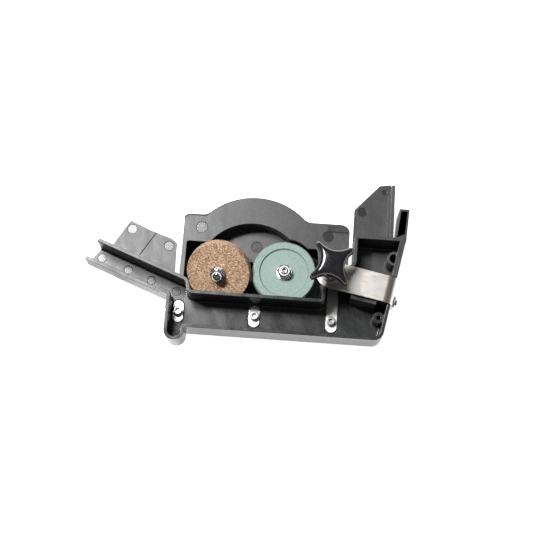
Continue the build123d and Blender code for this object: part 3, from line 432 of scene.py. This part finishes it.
def soften(name, width_mm):
    """Rounds a CAD node's edges, which the mould or the cutter never leaves sharp."""
    node = nodes[name]
    weld = node.modifiers.new("weld", "WELD")
    weld.merge_threshold = WELD_DISTANCE
    flat = node.modifiers.new("flat", "DECIMATE")
    flat.decimate_type = "DISSOLVE"
    flat.angle_limit = FLAT_ANGLE
    if width_mm > 0.0:
        bevel = node.modifiers.new("bevel", "BEVEL")
        bevel.width = width_mm * MM
        bevel.segments = 2
        bevel.limit_method = "ANGLE"
        bevel.angle_limit = SHARP_ANGLE
        bevel.use_clamp_overlap = False
        bevel.miter_outer = "MITER_ARC"
    normals = node.modifiers.new("normals", "WEIGHTED_NORMAL")
    normals.mode = "FACE_AREA_WITH_ANGLE"
    normals.weight = 100
    normals.keep_sharp = True


def star_outline(tip_radius, waist, reach, turn, steps=8):
    """Points round a four-armed star: round tips joined by hollow arcs."""
    tip_centre = reach - tip_radius
    # the hollow arc passes the waist point and ends on both neighbouring tips
    first = Vector((tip_centre, tip_radius))
    waist_point = Vector((waist, waist)) / math.sqrt(2.0)
    half = (first - waist_point).length / 2
    outward = Vector((1.0, 1.0)).normalized()
    slope = (first - waist_point).normalized().dot(outward)
    hollow_radius = half / slope
    hollow_centre = waist_point + outward * hollow_radius
    start = math.atan2(*(first - hollow_centre).yx)
    middle = math.atan2(*(-outward).yx)
    while start < middle - math.pi:
        start += 2 * math.pi
    while start > middle + math.pi:
        start -= 2 * math.pi
    # half circle round the tip, then the hollow on to the next arm
    arm = []
    for i in range(steps + 1):
        angle = math.radians(-90.0 + 180.0 * i / steps)
        arm.append(Vector((tip_centre + tip_radius * math.cos(angle), tip_radius * math.sin(angle))))
    for i in range(1, 2 * steps):
        angle = start + (middle - start) * i / steps
        arm.append(hollow_centre + hollow_radius * Vector((math.cos(angle), math.sin(angle))))
    points = []
    for quarter in range(4):
        spin = Matrix.Rotation(math.radians(turn + 90.0 * quarter), 2)
        points.extend(spin @ point for point in arm)
    return points


def skin(name, rings, material_slot):
    """A closed smooth piece drawn over rings of points, each ring with the same number of points."""
    mesh = bmesh.new()
    loops = [[mesh.verts.new(point) for point in ring] for ring in rings]
    for lower, upper in zip(loops, loops[1:]):
        for i in range(len(lower)):
            j = (i + 1) % len(lower)
            mesh.faces.new((lower[i], lower[j], upper[j], upper[i]))
    mesh.faces.new(loops[0])
    mesh.faces.new(loops[-1])
    bmesh.ops.recalc_face_normals(mesh, faces=mesh.faces)
    for face in mesh.faces:
        face.smooth = True
    data = bpy.data.meshes.new(name)
    mesh.to_mesh(data)
    mesh.free()
    data.materials.append(MATERIALS[material_slot])
    piece = bpy.data.objects.new(name, data)
    bpy.context.scene.collection.objects.link(piece)
    return piece


# the knob's sizes and heights are in millimetres, heights from the foot of its neck
KNOB_HEIGHT = 26.0
TIP_RADIUS = 2.4
KNOB_WAIST = 9.6
KNOB_REACH = 19.4
KNOB_TURN = 38.0
# height and radius of the neck's rings
NECK = ((0.05, 5.1), (0.05, 8.2), (0.7, 8.7), (11.0, 9.2), (13.2, 9.3))
# height of each outline of the grip, and how far it is drawn in
GRIP_LAYERS = (
    (13.2, 3.4),
    (13.5, 1.8),
    (14.3, 0.7),
    (15.8, 0.15),
    (18.0, 0.0),
    (22.4, 0.0),
    (23.6, 0.25),
    (24.6, 0.8),
    (25.3, 1.6),
    (25.7, 2.6),
)
CROWN_HEIGHT = 25.95
# sizes of the rings that close the top, as shares of the topmost outline
CROWN_RINGS = (0.85, 0.65, 0.45, 0.25, 0.08)
# how much the top falls away per square millimetre from the axis, above the given height
CROWN_DROOP = 0.0060
DROOP_FROM = 18.0


def make_knob():
    """Star grip with a crowned top and rolled edges, on a short round neck."""
    low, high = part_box("knob")
    centre = (low + high) / 2
    outline = star_outline(TIP_RADIUS, KNOB_WAIST, KNOB_REACH, KNOB_TURN)
    count = len(outline)

    def placed(points, height):
        ring = []
        for point in points:
            droop = CROWN_DROOP * point.length_squared if height > DROOP_FROM else 0.0
            drop = (KNOB_HEIGHT - height + droop) * MM
            ring.append((centre.x + point.x * MM, centre.y + point.y * MM, high.z - drop))
        return ring

    def drawn_in(inset):
        points = []
        for i, point in enumerate(outline):
            along = (outline[(i + 1) % count] - outline[i - 1]).normalized()
            points.append(point - Vector((along.y, -along.x)) * inset)
        return points

    rings = []
    for height, radius in NECK:
        rings.append(placed([point.normalized() * radius for point in outline], height))
    for height, inset in GRIP_LAYERS:
        rings.append(placed(drawn_in(inset), height))
    top = drawn_in(GRIP_LAYERS[-1][1])
    for share in CROWN_RINGS:
        rings.append(placed([point * share for point in top], CROWN_HEIGHT))
    knob = skin("star_knob", rings, "knob_plastic")
    smooth = knob.modifiers.new("smooth", "SUBSURF")
    smooth.levels = 1
    smooth.render_levels = 1
    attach(knob, "knob")
    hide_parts("knob")


# return springs: millimetres along the wheel's axis, measured from its face
SPRING_FOOT = -20.9
SPRING_HEAD = -13.6
SPRING_RADIUS = 7.25
SPRING_WIRE = 0.42
SPRING_TURNS = 3.0
SPRING_STEPS = 120
WIRE_SIDES = 10


def make_spring(wheel):
    """Return spring with closed end coils."""
    joints = {joint["name"]: joint for joint in frame["record"]["behaviour"]["joints"]}
    axis = Vector(joints[wheel + "_push"]["axis"]).normalized()
    face = Vector(joints[wheel + "_spin"]["pos_m"])
    side = axis.orthogonal().normalized()
    across = axis.cross(side)
    low = SPRING_FOOT + SPRING_WIRE
    high = SPRING_HEAD - SPRING_WIRE
    rings = []
    for step in range(SPRING_STEPS + 1):
        turns = SPRING_TURNS * step / SPRING_STEPS
        # the first and last half turns lie flat
        rise = min(1.0, max(0.0, (turns - 0.5) / (SPRING_TURNS - 1.0)))
        angle = 2 * math.pi * turns
        outward = side * math.cos(angle) + across * math.sin(angle)
        middle = face + (axis * (low + (high - low) * rise) + outward * SPRING_RADIUS) * MM
        ring = []
        for corner in range(WIRE_SIDES):
            spin = 2 * math.pi * corner / WIRE_SIDES
            offset = (outward * math.cos(spin) + axis * math.sin(spin)) * SPRING_WIRE * MM
            ring.append(middle + offset)
        rings.append(ring)
    coil = skin(wheel + "_coil", rings, "spring_steel")
    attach(coil, "housing")
    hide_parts(wheel + "_spring")
    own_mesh(coil)


# ---------------------------------------------------------------- the scene
bpy.context.scene.view_settings.view_transform = "Standard"
make_camera()
make_floor()
make_lights()
paint_cad_nodes()
# edge widths in millimetres; the wheels are only cleaned up
soften("housing", 0.25)
soften("rear_cover", 0.3)
for name in ("strap", "rail_plates", "slide_strip", "stop_rail", "rail_screws"):
    soften(name, 0.15)
make_knob()
for wheel in ("grinding", "truing"):
    soften(wheel + "_nut", 0.2)
    soften(wheel + "_wheel", 0.0)
    soften(wheel + "_spindle", 0.1)
    make_spring(wheel)
